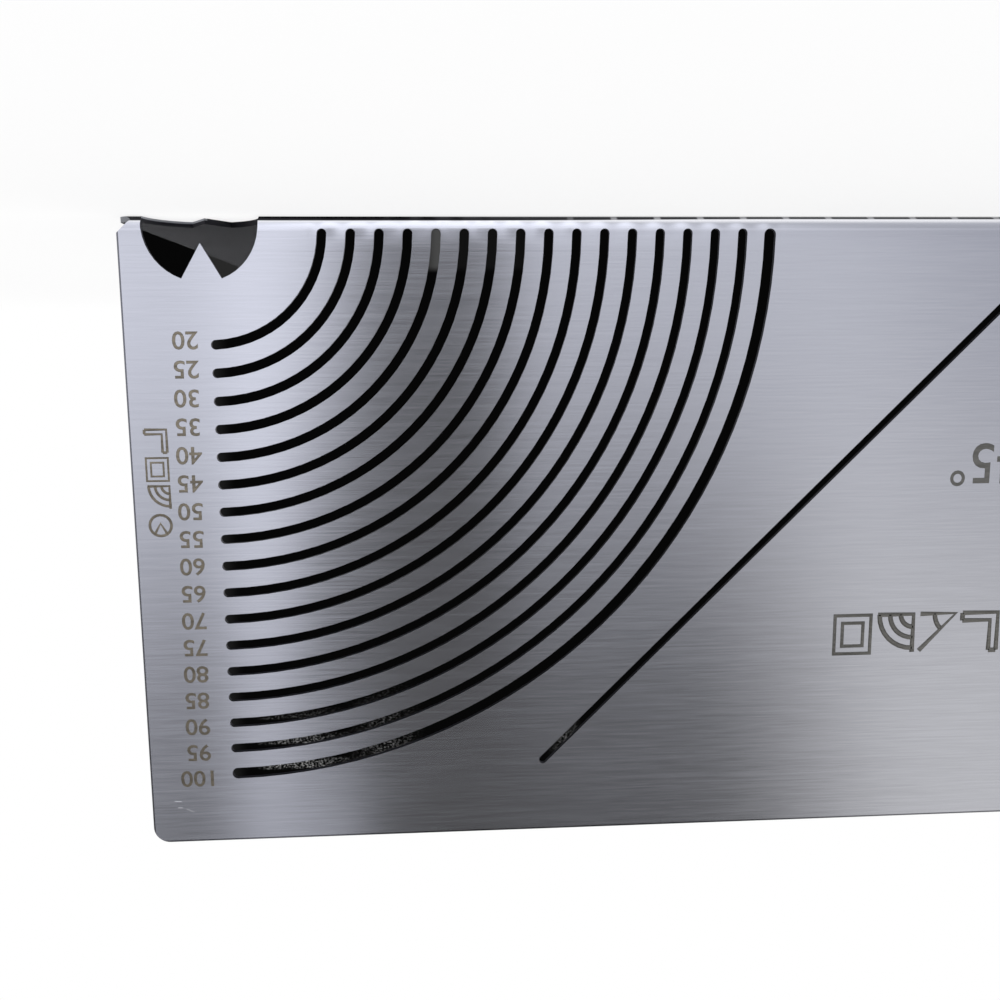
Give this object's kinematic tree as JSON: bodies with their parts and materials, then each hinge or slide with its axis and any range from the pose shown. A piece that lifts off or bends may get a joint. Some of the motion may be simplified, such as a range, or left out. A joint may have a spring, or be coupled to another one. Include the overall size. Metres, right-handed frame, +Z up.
{
  "type": "square tube marking ruler",
  "caption": "Folded steel angle ruler with nested arc slots, a mitre slot, straight slots and a pointer window, for marking square tube",
  "frame": {"origin": "on the resting plane, under the middle of the ruler's box", "axes": "+X along the fold, +Z up, the marked front leg faces -Y and the base leg lies flat below"},
  "size_m": [0.2, 0.1156, 0.1156],
  "materials": {
    "brushed_sheet": "brushed along the fold"
  },
  "bodies": {
    "root": {"folded_plate": "brushed_sheet"}
  },
  "joints": []
}
